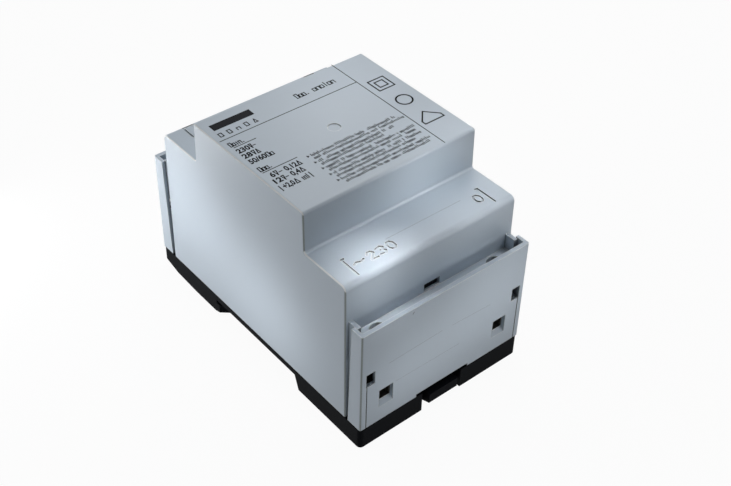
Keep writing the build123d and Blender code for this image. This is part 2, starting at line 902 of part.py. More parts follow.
def make_pins():
    """Wire pins of the coil former."""
    pins = [bar_y(x, (-lead_start, -pin_rail_reach + pin_seat), mains_pin_z,
                  pin_radius) for x in (-lead_x, lead_x)]
    pins += [bar_y(x, (pin_rail_reach - pin_seat, board_far + pin_proud), board_pin_z,
                   pin_radius) for x in rear_pins]
    return Compound(pins)


def make_thermal_fuse():
    """Resettable disc that senses the lower winding's heat."""
    z = chamber(False)
    near = winding_half_y + 2 * winding_play + tape_wall
    middle = (z[0] + z[1]) / 2
    body = bar_y(0, (-near - fuse_disc_height, -near), middle, fuse_disc_radius)
    y = -pin_rail_reach + pin_rail_depth / 2
    for x in (-fuse_lead_x, fuse_lead_x):
        body += bar_z(x, y, (middle + fuse_disc_radius / 2, bobbin_high - pin_rail_height),
                      fuse_lead_radius)
    return body


# Circuit board

def diode_places():
    """X of each diode."""
    middle = (diode_count - 1) / 2
    return [(place - middle) * diode_pitch for place in range(diode_count)]


def board_leads():
    """Place and radius of every round lead through the board."""
    leads = [(x, board_pin_z, pin_radius) for x in rear_pins]
    for x in diode_places():
        leads += [(x, parts_height + end * diode_span, lead_radius) for end in (-1, 1)]
    leads += [(capacitor_x, parts_height + end * capacitor_pitch / 2, lead_radius) for end in (-1, 1)]
    leads += [(disc_x, parts_height + end * disc_pitch / 2, lead_radius) for end in (-1, 1)]
    return leads


def make_board():
    """Circuit board with a hole for every lead and contact tail."""
    body = block((-board_half, board_half), (board_near, board_far), (board_foot, board_head))
    through = (board_near - spare, board_far + spare)
    for x, z, radius in board_leads():
        body -= bar_y(x, through, z, radius + hole_play)
    half = bar_tail_half + hole_play
    for x in terminal_places(rear_count):
        body -= block((x - half, x + half), through, (bar_low - hole_play, bar_high + hole_play))
    return body


def make_diode(x):
    """Axial diode lying along the board, with its leads bent into it."""
    low = parts_height - diode_span
    high = parts_height + diode_span
    half = diode_length / 2
    body = bar_z(x, diode_reach, (parts_height - half, parts_height + half), diode_radius)
    body += bar_z(x, diode_reach, (low, high), lead_radius)
    for z in (low, high):
        body += bar_y(x, (board_back, diode_reach), z, lead_radius)
        body += Pos(x, diode_reach, z) * Sphere(lead_radius)
    return body


def make_capacitor():
    """Upright smoothing capacitor."""
    end = capacitor_low + capacitor_length
    body = bar_y(capacitor_x, (capacitor_low, end), parts_height, capacitor_radius)
    body = fillet(body.edges(), standoff)
    for side in (-1, 1):
        z = parts_height + side * capacitor_pitch / 2
        body += bar_y(capacitor_x, (board_back, capacitor_low + spare), z, lead_radius)
    return body


def make_disc():
    """Resettable fuse disc of the output."""
    half = disc_wall / 2
    body = bar_x((disc_x - half, disc_x + half), disc_reach, parts_height, disc_radius)
    body = fillet(body.edges(), disc_wall / 4)
    end = board_far + disc_standoff + disc_lead_bury
    for side in (-1, 1):
        z = parts_height + side * disc_pitch / 2
        body += bar_y(disc_x, (board_back, end), z, lead_radius)
    return body


# Mains leads

def make_lead(side):
    """Insulated wire from a pin of the former down to its contact bar."""
    middle = (side * lead_middle[0], lead_middle[1], lead_middle[2])
    landing = side * terminal_spread / 2
    points = [
        Vector(side * lead_x, -lead_start, mains_pin_z),
        Vector(side * lead_x, -lead_start - lead_forward, mains_pin_z),
        Vector(*middle),
        Vector(landing, -lead_landing, bar_high + lead_drop),
        Vector(landing, -lead_landing, bar_high),
    ]
    radii = []
    for before, here, after in zip(points, points[1:], points[2:]):
        turn = (here - before).get_angle(after - here)
        shorter = min((here - before).length, (after - here).length)
        half_turn = radians(turn / 2)
        radii.append(bend_share * shorter / tan(half_turn))
    path = FilletPolyline(*points, radius=radii)
    section = Plane(origin=path @ 0, z_dir=path % 0) * Circle(insulation_radius)
    return sweep(section, path=path)


def all_pieces():
    """Every piece of the supply by its name."""
    pieces = {
        "housing": make_housing(),
        "base": make_base(),
        "rail_clip": make_clip(),
        "clip_spring": make_spring(),
        "front_cover": make_cover(front_count),
        "rear_cover": at_rear(make_cover(rear_count)),
        "front_terminal_block": make_block(front_count),
        "rear_terminal_block": at_rear(make_block(rear_count)),
        "core_e_stack": make_core_e(),
        "core_i_stack": make_core_i(),
        "bobbin": make_bobbin(),
        "primary_winding": make_winding(True),
        "secondary_winding": make_winding(False),
        "primary_tape": make_tape(True),
        "secondary_tape": make_tape(False),
        "bobbin_pins": make_pins(),
        "thermal_fuse": make_thermal_fuse(),
        "circuit_board": make_board(),
        "capacitor": make_capacitor(),
        "resettable_fuse": make_disc(),
        "primary_lead_1": make_lead(-1),
        "primary_lead_2": make_lead(1),
    }
    for number, x in enumerate(terminal_places(front_count), 1):
        pieces[f"front_screw_{number}"] = make_screw(x)
        pieces[f"front_clamp_{number}"] = make_clamp(x)
        pieces[f"front_contact_{number}"] = make_contact(x, mains_bar_reach)
    for number, x in enumerate(terminal_places(rear_count), 1):
        pieces[f"rear_screw_{number}"] = at_rear(make_screw(x))
        pieces[f"rear_clamp_{number}"] = at_rear(make_clamp(x))
        pieces[f"rear_contact_{number}"] = at_rear(make_board_contact(x))
    for number, x in enumerate(diode_places(), 1):
        pieces[f"diode_{number}"] = make_diode(x)
    return pieces


os.makedirs("parts", exist_ok=True)
for name, piece in all_pieces().items():
    export_step(piece, f"parts/{name}.step")
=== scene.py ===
import math

import bmesh
import bpy
from mathutils import Matrix, Vector


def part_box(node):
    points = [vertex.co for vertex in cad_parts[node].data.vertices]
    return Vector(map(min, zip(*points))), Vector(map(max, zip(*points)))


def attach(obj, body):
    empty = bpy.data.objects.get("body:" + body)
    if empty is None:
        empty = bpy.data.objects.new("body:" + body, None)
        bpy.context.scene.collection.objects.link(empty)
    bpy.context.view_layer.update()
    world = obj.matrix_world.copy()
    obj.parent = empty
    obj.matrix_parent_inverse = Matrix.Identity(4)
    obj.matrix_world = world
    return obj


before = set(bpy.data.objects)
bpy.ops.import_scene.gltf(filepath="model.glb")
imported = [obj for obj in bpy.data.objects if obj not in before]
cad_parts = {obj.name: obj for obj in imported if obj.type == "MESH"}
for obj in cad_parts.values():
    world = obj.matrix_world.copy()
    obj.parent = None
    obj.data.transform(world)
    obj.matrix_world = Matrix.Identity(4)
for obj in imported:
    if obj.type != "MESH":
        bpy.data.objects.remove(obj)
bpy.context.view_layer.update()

bl_info = {
    "name": "Rail power supply",
    "version": (1, 0, 0),
    "blender": (4, 5, 0),
    "location": "3D View > Sidebar > Power supply",
    "description": "Moulded plastic, print and metal of a rail-mounted power supply",
    "category": "Object",
}

MM = 0.001
NOSE_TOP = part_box("housing")[1].z
FLOOR_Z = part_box("base")[0].z
COVER_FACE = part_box("front_cover")[0].y
SHOULDER_TOP = 44.3 * MM
SENSOR = 36.0                    # width of the camera's sensor, in its own millimetres
NEAREST, FARTHEST = 0.01, 10.0   # what the camera sees


# Settings

def colour(name, words, value):
    """A colour setting, written as the linear values of the surface."""
    return bpy.props.FloatVectorProperty(
        name=name, description=words, subtype="COLOR", size=3, min=0.0, max=1.0, default=value)


def length(name, words, value):
    """A length setting in metres."""
    return bpy.props.FloatProperty(
        name=name, description=words, unit="LENGTH", subtype="DISTANCE", precision=6, default=value)


def share(name, words, value):
    """A setting between nought and one."""
    return bpy.props.FloatProperty(
        name=name, description=words, subtype="FACTOR", min=0.0, max=1.0, default=value)


class PlasticSettings(bpy.types.PropertyGroup):
    """Colours and grain of the moulded plastics."""
    grey: colour("Grey", "Housing and covers", (0.508, 0.580, 0.652))
    # painted shade: a darker colour laid on the upright edges of the grey mouldings
    upright_edge_shade: colour("Upright edge shade", "Upright edges of the grey mouldings", (0.20, 0.22, 0.19))
    # painted highlight: a paler colour laid on the upper edges of the grey mouldings
    pale: colour("Pale", "Upper edges of the grey mouldings", (0.92, 0.93, 0.91))
    # painted shade: a dark colour laid in the deep cavities of the grey mouldings
    cavity_shade: colour("Hollow", "Deep cavities of the grey mouldings", (0.05, 0.053, 0.055))
    black: colour("Black", "Base and rail catch", (0.008, 0.009, 0.011))
    dark: colour("Dark", "Terminal blocks", (0.004, 0.004, 0.004))
    grain: length("Grain", "Size of the mould's fine grain", 0.16 * MM)
    edge: length("Edge", "Rounding of the sharp edges", 0.09 * MM)
    drift: share("Drift", "How much the colour drifts over a moulding", 0.05)


class PrintSettings(bpy.types.PropertyGroup):
    """The print on the nose."""
    ink: colour("Ink", "Colour of the print", (0.012, 0.013, 0.016))
    rise: length("Rise", "Thickness of the ink", 0.005 * MM)
    line: length("Line", "Width of the ruled lines", 0.25 * MM)
    large: length("Large", "Height of the ratings", 1.8 * MM)
    sign: length("Sign", "Pen width of the plain signs", 0.4 * MM)
    letter: length("Letter", "Pen width of the shapes beside the ratings", 0.3 * MM)
    bold: length("Bold", "Thickening of the digits", 0.1 * MM)
    small: length("Small", "Height of the notes", 1.05 * MM)
    seed: bpy.props.IntProperty(name="Seed", description="Order of the notes' strokes", default=7)


class StageSettings(bpy.types.PropertyGroup):
    """Camera and floor."""
    lens: bpy.props.FloatProperty(name="Lens", description="Focal length", unit="CAMERA", default=60.13)
    azimuth: bpy.props.FloatProperty(
        name="Azimuth", description="Turn of the camera", subtype="ANGLE", default=math.radians(-39.25))
    elevation: bpy.props.FloatProperty(
        name="Elevation", description="Height of the camera", subtype="ANGLE", default=math.radians(39.17))
    roll: bpy.props.FloatProperty(
        name="Roll", description="Tilt of the camera", subtype="ANGLE", default=math.radians(-0.66))
    offset: bpy.props.FloatVectorProperty(
        name="Offset", description="The aimed point's place right, down and ahead of the lens",
        subtype="XYZ", unit="LENGTH", size=3, precision=5, default=(-0.00278, 0.00294, 0.31894))
    aim: length("Aim", "Height of the aimed point", 0.02555)
    shift: bpy.props.FloatVectorProperty(
        name="Shift", description="Shift of the lens", size=2, precision=5, default=(0.02873, -0.04501))
    floor: length("Floor", "Side of the floor", 3.0)
    pale: colour("Pale", "Floor and backdrop", (0.86, 0.87, 0.88))


# Node helpers

def add(tree, kind, place, **settings):
    """A new node at a place of the editor, with its settings."""
    node = tree.nodes.new(kind)
    node.location = place
    for name, value in settings.items():
        setattr(node, name, value)
    return node


def put(node, **values):
    """Values on a node's input sockets, by name."""
    for name, value in values.items():
        node.inputs[name.replace("_", " ")].default_value = value
    return node


def join(tree, start, end):
    """A link from one socket to another."""
    tree.links.new(start, end)


def feed(tree, value, slot):
    """An input fed by another node's socket, or else set to a plain value."""
    if isinstance(value, bpy.types.NodeSocket):
        join(tree, value, slot)
    else:
        slot.default_value = value


def maths(tree, place, operation, *values):
    """A maths node's output, from sockets and numbers."""
    node = add(tree, "ShaderNodeMath", place, operation=operation)
    for value, slot in zip(values, node.inputs):
        feed(tree, value, slot)
    return node.outputs[0]


def spread_out(tree, place, value, bounds):
    """A value as nought at the first of two bounds, one at the second, and in proportion between."""
    node = add(tree, "ShaderNodeMapRange", place)
    put(node, From_Min=bounds[0], From_Max=bounds[1], To_Min=0.0, To_Max=1.0)
    join(tree, value, node.inputs["Value"])
    return node.outputs["Result"]


def colours_mixed(tree, place, part, first, second):
    """A mix of two colours, which takes the given part of the second."""
    node = add(tree, "ShaderNodeMix", place, data_type="RGBA")
    join(tree, part, node.inputs["Factor"])
    feed(tree, first, node.inputs["A"])
    feed(tree, second, node.inputs["B"])
    return node.outputs["Result"]


def shaders_mixed(tree, place, part, first, second):
    """A mix of two shaders, which takes the given part of the second."""
    node = add(tree, "ShaderNodeMixShader", place)
    join(tree, part, node.inputs["Fac"])
    join(tree, first.outputs[0], node.inputs[1])
    join(tree, second.outputs[0], node.inputs[2])
    return node.outputs[0]


def socket(tree, name, kind, value=None, out=False):
    """A named input or output on a group."""
    made = tree.interface.new_socket(name=name, in_out="OUTPUT" if out else "INPUT", socket_type=kind)
    if value is not None:
        made.default_value = value


def rgba(value):
    """An opaque colour, from its three values."""
    return (*value, 1.0)


# Shared effects

FINE_MOTTLE = 0.35               # weight of the fine noise beside the slow one
FINE_SCALE = 900.0
ROUGH_SWING = 0.12               # how far the roughness swings over a surface
ROUGH_SCALE = 120.0
BEVEL_SAMPLES = 6
SHARP_EDGE = (0.998, 0.9)        # cosine of a face to its softened normal, off an edge and on it
ROUNDED_EDGE = (0.04, 0.18)      # x * x * (1 - x * x) of the softened normal, off a rounding and on it
UPWARD = (0.05, 0.25)            # z of the softened normal, on an upright edge and on an upper one, from painted shade to painted highlight
OPENNESS = (0.05, 0.62)          # share of open air, in a cavity and outside, for the painted shade in cavities


def tone_group():
    """Slow drift of a moulding's colour, with a faint mottle."""
    tree = bpy.data.node_groups.new("moulded_tone", "ShaderNodeTree")
    socket(tree, "Colour", "NodeSocketColor", (0.5, 0.5, 0.5, 1))
    socket(tree, "Drift", "NodeSocketFloat", 0.05)
    socket(tree, "Scale", "NodeSocketFloat", 30.0)
    socket(tree, "Colour", "NodeSocketColor", out=True)
    inlet = add(tree, "NodeGroupInput", (-800, 0))
    outlet = add(tree, "NodeGroupOutput", (600, 0))
    place = add(tree, "ShaderNodeTexCoord", (-800, -250))
    slow = put(add(tree, "ShaderNodeTexNoise", (-550, -150)), Detail=2.0)
    fine = put(add(tree, "ShaderNodeTexNoise", (-550, -400)), Scale=FINE_SCALE, Detail=3.0)
    for noise in (slow, fine):
        join(tree, place.outputs["Object"], noise.inputs["Vector"])
    join(tree, inlet.outputs["Scale"], slow.inputs["Scale"])
    mottle = maths(tree, (-320, -250), "MULTIPLY_ADD", fine.outputs["Fac"], FINE_MOTTLE, slow.outputs["Fac"])
    swing = maths(tree, (-140, -250), "MULTIPLY_ADD", mottle, inlet.outputs["Drift"], 1.0)
    middle = maths(tree, (-140, -420), "MULTIPLY", inlet.outputs["Drift"], (1 + FINE_MOTTLE) / 2)
    level = maths(tree, (40, -250), "SUBTRACT", swing, middle)
    scaled = add(tree, "ShaderNodeVectorMath", (250, 0), operation="SCALE")
    join(tree, inlet.outputs["Colour"], scaled.inputs[0])
    join(tree, level, scaled.inputs["Scale"])
    join(tree, scaled.outputs[0], outlet.inputs["Colour"])
    return tree


def grain_group():
    """Fine moulded grain with rounded edges, as a normal and a roughness."""
    tree = bpy.data.node_groups.new("moulded_grain", "ShaderNodeTree")
    socket(tree, "Edge", "NodeSocketFloat", 0.14 * MM)
    socket(tree, "Scale", "NodeSocketFloat", 5000.0)
    socket(tree, "Depth", "NodeSocketFloat", 0.01 * MM)
    socket(tree, "Roughness", "NodeSocketFloat", 0.4)
    socket(tree, "Normal", "NodeSocketVector", out=True)
    socket(tree, "Roughness", "NodeSocketFloat", out=True)
    inlet = add(tree, "NodeGroupInput", (-700, 0))
    outlet = add(tree, "NodeGroupOutput", (500, 0))
    place = add(tree, "ShaderNodeTexCoord", (-700, -300))
    grain = put(add(tree, "ShaderNodeTexNoise", (-450, -250)), Detail=2.0)
    broad = put(add(tree, "ShaderNodeTexNoise", (-450, -500)), Scale=ROUGH_SCALE, Detail=1.0)
    for noise in (grain, broad):
        join(tree, place.outputs["Object"], noise.inputs["Vector"])
    join(tree, inlet.outputs["Scale"], grain.inputs["Scale"])
    edge = add(tree, "ShaderNodeBevel", (-250, 100), samples=BEVEL_SAMPLES)
    join(tree, inlet.outputs["Edge"], edge.inputs["Radius"])
    bump = put(add(tree, "ShaderNodeBump", (50, 0)), Strength=1.0)
    join(tree, inlet.outputs["Depth"], bump.inputs["Distance"])
    join(tree, grain.outputs["Fac"], bump.inputs["Height"])
    join(tree, edge.outputs["Normal"], bump.inputs["Normal"])
    rough = maths(tree, (50, -300), "MULTIPLY_ADD",
                  broad.outputs["Fac"], ROUGH_SWING, inlet.outputs["Roughness"])
    join(tree, bump.outputs["Normal"], outlet.inputs["Normal"])
    join(tree, rough, outlet.inputs["Roughness"])
    return tree


def light_mask_group():
    """Masks for painted light: of the edges, of the upper ones among them, and of what lies outside the
    cavities.
    """
    tree = bpy.data.node_groups.new("moulded_light_masks", "ShaderNodeTree")
    socket(tree, "Width", "NodeSocketFloat", 0.3 * MM)
    socket(tree, "Reach", "NodeSocketFloat", 4 * MM)
    for name in ("Edge", "Upward", "Open"):
        socket(tree, name, "NodeSocketFloat", out=True)
    inlet = add(tree, "NodeGroupInput", (-900, 0))
    outlet = add(tree, "NodeGroupOutput", (400, 0))
    face = add(tree, "ShaderNodeNewGeometry", (-700, 250))
    soft = add(tree, "ShaderNodeBevel", (-700, 0), samples=BEVEL_SAMPLES)
    join(tree, inlet.outputs["Width"], soft.inputs["Radius"])
    same = add(tree, "ShaderNodeVectorMath", (-500, 150), operation="DOT_PRODUCT")
    join(tree, face.outputs["Normal"], same.inputs[0])
    join(tree, soft.outputs["Normal"], same.inputs[1])
    sharp = spread_out(tree, (0, 150), same.outputs["Value"], SHARP_EDGE)
    # a rounding that turns sideways has its normal between the X axis and the others
    parts = add(tree, "ShaderNodeSeparateXYZ", (-500, 0))
    join(tree, soft.outputs["Normal"], parts.inputs[0])
    squared = maths(tree, (-500, 350), "MULTIPLY", parts.outputs["X"], parts.outputs["X"])
    others = maths(tree, (-350, 450), "SUBTRACT", 1.0, squared)
    slant = maths(tree, (-200, 350), "MULTIPLY", squared, others)
    rounded = spread_out(tree, (0, 350), slant, ROUNDED_EDGE)
    upward = spread_out(tree, (0, 0), parts.outputs["Z"], UPWARD)
    # painted shade in cavities, from ambient occlusion
    cavity = add(tree, "ShaderNodeAmbientOcclusion", (-500, -200), samples=8)
    join(tree, inlet.outputs["Reach"], cavity.inputs["Distance"])
    outside = spread_out(tree, (0, -200), cavity.outputs["AO"], OPENNESS)
    join(tree, maths(tree, (200, 250), "MAXIMUM", sharp, rounded), outlet.inputs["Edge"])
    join(tree, upward, outlet.inputs["Upward"])
    join(tree, outside, outlet.inputs["Open"])
    return tree


MAKERS = {"tone": tone_group, "grain": grain_group, "light_masks": light_mask_group}
GROUPS = {}


def group(name):
    """A shared effect, built once."""
    if name not in GROUPS:
        GROUPS[name] = MAKERS[name]()
    return GROUPS[name]


# Materials

PAINTED_EDGE_WIDTH = 0.3 * MM             # reach of the painted edge band from an edge
PAINTED_EDGE_SHARE = 0.8                  # how much of the painted edge colour an edge takes
CAVITY_REACH = 4 * MM            # how far off a wall the painted shade of a cavity still reaches


def blank(name):
    """A material with only its shader and output."""
    made = bpy.data.materials.new(name)
    made.use_nodes = True
    made.node_tree.nodes.clear()
    shader = add(made.node_tree, "ShaderNodeBsdfPrincipled", (300, 0))
    out = add(made.node_tree, "ShaderNodeOutputMaterial", (600, 0))
    join(made.node_tree, shader.outputs["BSDF"], out.inputs["Surface"])
    return made, shader


def finish(name, tint, roughness, grain=0.16 * MM, depth=0.006 * MM, edge=0.14 * MM, drift=0.05, scale=30.0,
           metallic=0.0, coat=0.0, index=1.5):
    """A material of moulded, coated or plated stuff."""
    made, shader = blank(name)
    tree = made.node_tree
    tone = add(tree, "ShaderNodeGroup", (0, 150), node_tree=group("tone"))
    put(tone, Colour=rgba(tint), Drift=drift, Scale=scale)
    skin = add(tree, "ShaderNodeGroup", (0, -150), node_tree=group("grain"))
    put(skin, Edge=edge, Scale=1.0 / grain, Depth=depth, Roughness=roughness - ROUGH_SWING / 2)
    join(tree, tone.outputs["Colour"], shader.inputs["Base Color"])
    join(tree, skin.outputs["Roughness"], shader.inputs["Roughness"])
    join(tree, skin.outputs["Normal"], shader.inputs["Normal"])
    put(shader, Metallic=metallic, Coat_Weight=coat, IOR=index)
    made.diffuse_color = rgba(tint)
    return made


def banded(name, tint, roughness, axis, pitch, depth, **more):
    """A finish with fine even ridges along one axis, as on wound wire and stacked sheets."""
    made = finish(name, tint, roughness, **more)
    tree = made.node_tree
    shader = tree.nodes["Principled BSDF"]
    skin = shader.inputs["Normal"].links[0].from_socket
    place = add(tree, "ShaderNodeTexCoord", (-500, -450))
    bands = add(tree, "ShaderNodeTexWave", (-250, -450), bands_direction=axis, wave_profile="SIN")
    put(bands, Scale=math.pi / pitch / 10, Distortion=0.0)
    join(tree, place.outputs["Object"], bands.inputs["Vector"])
    bump = put(add(tree, "ShaderNodeBump", (150, -450)), Strength=1.0, Distance=depth)
    join(tree, bands.outputs["Fac"], bump.inputs["Height"])
    join(tree, skin, bump.inputs["Normal"])
    join(tree, bump.outputs["Normal"], shader.inputs["Normal"])
    return made


def painted_edges_and_cavity_shade(made, upright_edge_shade, pale, cavity_shade):
    """Adds painted shade on upright edges, painted highlight on upper edges and painted shade in cavities to
    a finish.
    """
    tree = made.node_tree
    shader = tree.nodes["Principled BSDF"]
    plain = shader.inputs["Base Color"].links[0].from_socket
    light_masks = add(tree, "ShaderNodeGroup", (-300, 450), node_tree=group("light_masks"))
    put(light_masks, Width=PAINTED_EDGE_WIDTH, Reach=CAVITY_REACH)
    # painted shade on upright edges, painted highlight on upper edges
    painted_edge = colours_mixed(tree, (-150, 800), light_masks.outputs["Upward"], rgba(upright_edge_shade), rgba(pale))
    part = maths(tree, (-150, 600), "MULTIPLY", light_masks.outputs["Edge"], PAINTED_EDGE_SHARE)
    edged = colours_mixed(tree, (0, 450), part, plain, painted_edge)
    whole = colours_mixed(tree, (200, 450), light_masks.outputs["Open"], rgba(cavity_shade), edged)
    join(tree, whole, shader.inputs["Base Color"])


def dress(made, *starts):
    """Gives a material to every CAD node whose name starts with one of the words."""
    for name in sorted(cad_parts):
        if name.startswith(starts):
            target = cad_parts[name]
            target.data.materials.clear()
            target.data.materials.append(made)


# Mesh helpers

def piece(name, mesh, made, body):
    """A finished piece on a body, with its material."""
    mesh.name = name
    mesh.materials.clear()
    mesh.materials.append(made)
    obj = bpy.data.objects.new(name, mesh)
    bpy.context.scene.collection.objects.link(obj)
    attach(obj, body)


def in_mm(points):
    """Points of a plane written in millimetres, as metres."""
    return [(x * MM, y * MM) for x, y in points]


def rectangle(left, foot, right, head):
    """The four corners of a rectangle in a plane, along its axes."""
    return [(left, foot), (right, foot), (right, head), (left, head)]


def ring_points(x, y, radius, count=40):
    """Points of a circle."""
    turns = [math.tau * place / count for place in range(count)]
    return [(x + radius * math.cos(turn), y + radius * math.sin(turn)) for turn in turns]


def prism_into(shape, corners, low, high):
    """A closed upright prism in a bmesh, from its corners in plan."""
    lower = [shape.verts.new((*corner, low)) for corner in corners]
    upper = [shape.verts.new((*corner, high)) for corner in corners]
    shape.faces.new(lower[::-1])
    shape.faces.new(upper)
    for place in range(len(corners)):
        after = (place + 1) % len(corners)
        shape.faces.new((lower[place], lower[after], upper[after], upper[place]))


def ribbon_into(shape, points, width, low, high, closed=False):
    """A flat pen line through points of a level plane."""
    run = [Vector(point) for point in points]
    ends = list(zip(run, run[1:] + run[:1] if closed else run[1:]))
    for start, end in ends:
        along = (end - start).normalized()
        side = Vector((-along.y, along.x)) * width / 2
        cap = along * width / 2
        corners = [start - cap - side, end + cap - side, end + cap + side, start - cap + side]
        prism_into(shape, corners, low, high)


def mesh_of(shape):
    """A mesh from a bmesh, with its faces turned outwards."""
    bmesh.ops.recalc_face_normals(shape, faces=shape.faces)
    made = bpy.data.meshes.new("piece")
    shape.to_mesh(made)
    shape.free()
    return made


# Repeated strokes

STROKE_RING = 0.25               # ring's radius as a share of a stroke's height
RING_SIDES = 8
RING_STRETCH = (0.7, 1.15, 1.0)
BAR_HEIGHTS = (1.0, 0.62)        # a tall and a short bar as shares of a stroke's height


def stroke_tree(made):
    """Small strokes along lines, for notes too fine to read."""
    tree = bpy.data.node_groups.new("note_strokes", "GeometryNodeTree")
    socket(tree, "Geometry", "NodeSocketGeometry")
    for name in ("Pitch", "Height", "Stroke", "Depth", "Gap"):
        socket(tree, name, "NodeSocketFloat")
    socket(tree, "Seed", "NodeSocketInt", 1)
    socket(tree, "Geometry", "NodeSocketGeometry", out=True)
    inlet = add(tree, "NodeGroupInput", (-1200, 0))
    outlet = add(tree, "NodeGroupOutput", (900, 0))
    curve = add(tree, "GeometryNodeMeshToCurve", (-950, 200))
    join(tree, inlet.outputs["Geometry"], curve.inputs["Mesh"])
    even = add(tree, "GeometryNodeResampleCurve", (-750, 200), mode="LENGTH")
    join(tree, curve.outputs[0], even.inputs["Curve"])
    join(tree, inlet.outputs["Pitch"], even.inputs["Length"])
    gap = add(tree, "FunctionNodeRandomValue", (-750, -50), data_type="BOOLEAN")
    join(tree, inlet.outputs["Gap"], gap.inputs["Probability"])
    join(tree, inlet.outputs["Seed"], gap.inputs["Seed"])
    keep = add(tree, "FunctionNodeBooleanMath", (-550, -50), operation="NOT")
    join(tree, gap.outputs[3], keep.inputs[0])
    # the first stroke is a ring
    profile = add(tree, "GeometryNodeCurvePrimitiveQuadrilateral", (-950, -300))
    join(tree, inlet.outputs["Stroke"], profile.inputs["Width"])
    join(tree, inlet.outputs["Depth"], profile.inputs["Height"])
    radius = maths(tree, (-950, -550), "MULTIPLY", inlet.outputs["Height"], STROKE_RING)
    circle = put(add(tree, "GeometryNodeCurvePrimitiveCircle", (-750, -350)), Resolution=RING_SIDES)
    join(tree, radius, circle.inputs["Radius"])
    ring = add(tree, "GeometryNodeCurveToMesh", (-550, -300))
    join(tree, circle.outputs[0], ring.inputs["Curve"])
    join(tree, profile.outputs[0], ring.inputs["Profile Curve"])
    middle = add(tree, "ShaderNodeCombineXYZ", (-550, -500))
    join(tree, radius, middle.inputs["Y"])
    oval = put(add(tree, "GeometryNodeTransform", (-350, -300)), Scale=RING_STRETCH)
    join(tree, ring.outputs[0], oval.inputs["Geometry"])
    join(tree, middle.outputs[0], oval.inputs["Translation"])
    shapes = add(tree, "GeometryNodeGeometryToInstance", (-50, -300))
    join(tree, oval.outputs[0], shapes.inputs[0])
    # the other two are bars
    for row, height in enumerate(BAR_HEIGHTS):
        level = -700 - 250 * row
        tall = maths(tree, (-950, level), "MULTIPLY", inlet.outputs["Height"], height)
        size = add(tree, "ShaderNodeCombineXYZ", (-750, level))
        join(tree, inlet.outputs["Stroke"], size.inputs["X"])
        join(tree, tall, size.inputs["Y"])
        join(tree, inlet.outputs["Depth"], size.inputs["Z"])
        bar = add(tree, "GeometryNodeMeshCube", (-550, level))
        join(tree, size.outputs[0], bar.inputs["Size"])
        middle = add(tree, "ShaderNodeCombineXYZ", (-550, level - 160))
        join(tree, maths(tree, (-750, level - 120), "MULTIPLY", tall, 0.5), middle.inputs["Y"])
        moved = add(tree, "GeometryNodeTransform", (-350, level))
        join(tree, bar.outputs[0], moved.inputs["Geometry"])
        join(tree, middle.outputs[0], moved.inputs["Translation"])
        join(tree, moved.outputs[0], shapes.inputs[0])
    # sockets 4 and 5 are the least and the most of a whole number, output 2 the number
    which = add(tree, "FunctionNodeRandomValue", (-50, -550), data_type="INT")
    which.inputs[4].default_value = 0
    which.inputs[5].default_value = len(BAR_HEIGHTS)
    join(tree, inlet.outputs["Seed"], which.inputs["Seed"])
    spread = put(add(tree, "GeometryNodeInstanceOnPoints", (200, 100)), Pick_Instance=True)
    join(tree, even.outputs[0], spread.inputs["Points"])
    join(tree, keep.outputs[0], spread.inputs["Selection"])
    join(tree, shapes.outputs[0], spread.inputs["Instance"])
    join(tree, which.outputs[2], spread.inputs["Instance Index"])
    real = add(tree, "GeometryNodeRealizeInstances", (450, 100))
    join(tree, spread.outputs[0], real.inputs[0])
    coat = put(add(tree, "GeometryNodeSetMaterial", (670, 100)), Material=made)
    join(tree, real.outputs[0], coat.inputs["Geometry"])
    join(tree, coat.outputs[0], outlet.inputs["Geometry"])
    return tree


def strokes_mesh(tree, rows, **values):
    """The mesh of strokes along rows, each from a start to an end."""
    lines = bpy.data.meshes.new("rows")
    points = [point for row in rows for point in row]
    lines.from_pydata(points, [(2 * place, 2 * place + 1) for place in range(len(rows))], [])
    obj = bpy.data.objects.new("rows", lines)
    bpy.context.scene.collection.objects.link(obj)
    modifier = obj.modifiers.new("strokes", "NODES")
    modifier.node_group = tree
    for entry in tree.interface.items_tree:
        if entry.item_type == "SOCKET" and entry.in_out == "INPUT" and entry.name in values:
            modifier[entry.identifier] = values[entry.name]
    seen = obj.evaluated_get(bpy.context.evaluated_depsgraph_get())
    made = bpy.data.meshes.new_from_object(seen)
    obj.modifiers.clear()
    bpy.data.objects.remove(obj)
    bpy.data.meshes.remove(lines)
    return made


# Finishes of the CAD pieces

class SUPPLY_OT_plastics(bpy.types.Operator):
    """Finishes of the housing, covers, base, catch and terminal blocks"""
    bl_idname = "supply.plastics"
    bl_label = "Moulded plastics"

    def execute(self, context):
        look = context.scene.supply_plastic
        grey = finish("grey_moulding", look.grey, 0.40, grain=look.grain, edge=look.edge, drift=look.drift)
        # painted shade on upright edges and in cavities, painted highlight on upper edges
        painted_edges_and_cavity_shade(grey, look.upright_edge_shade, look.pale, look.cavity_shade)
        black = finish("black_moulding", look.black, 0.36, grain=look.grain, edge=look.edge, drift=0.2,
                       index=1.05)
        dark = finish("terminal_block_moulding", look.dark, 0.5, drift=0.2, index=1.05)
        dress(grey, "housing", "front_cover", "rear_cover")
        dress(black, "base", "rail_clip")
        dress(dark, "front_terminal_block", "rear_terminal_block")
        return {"FINISHED"}


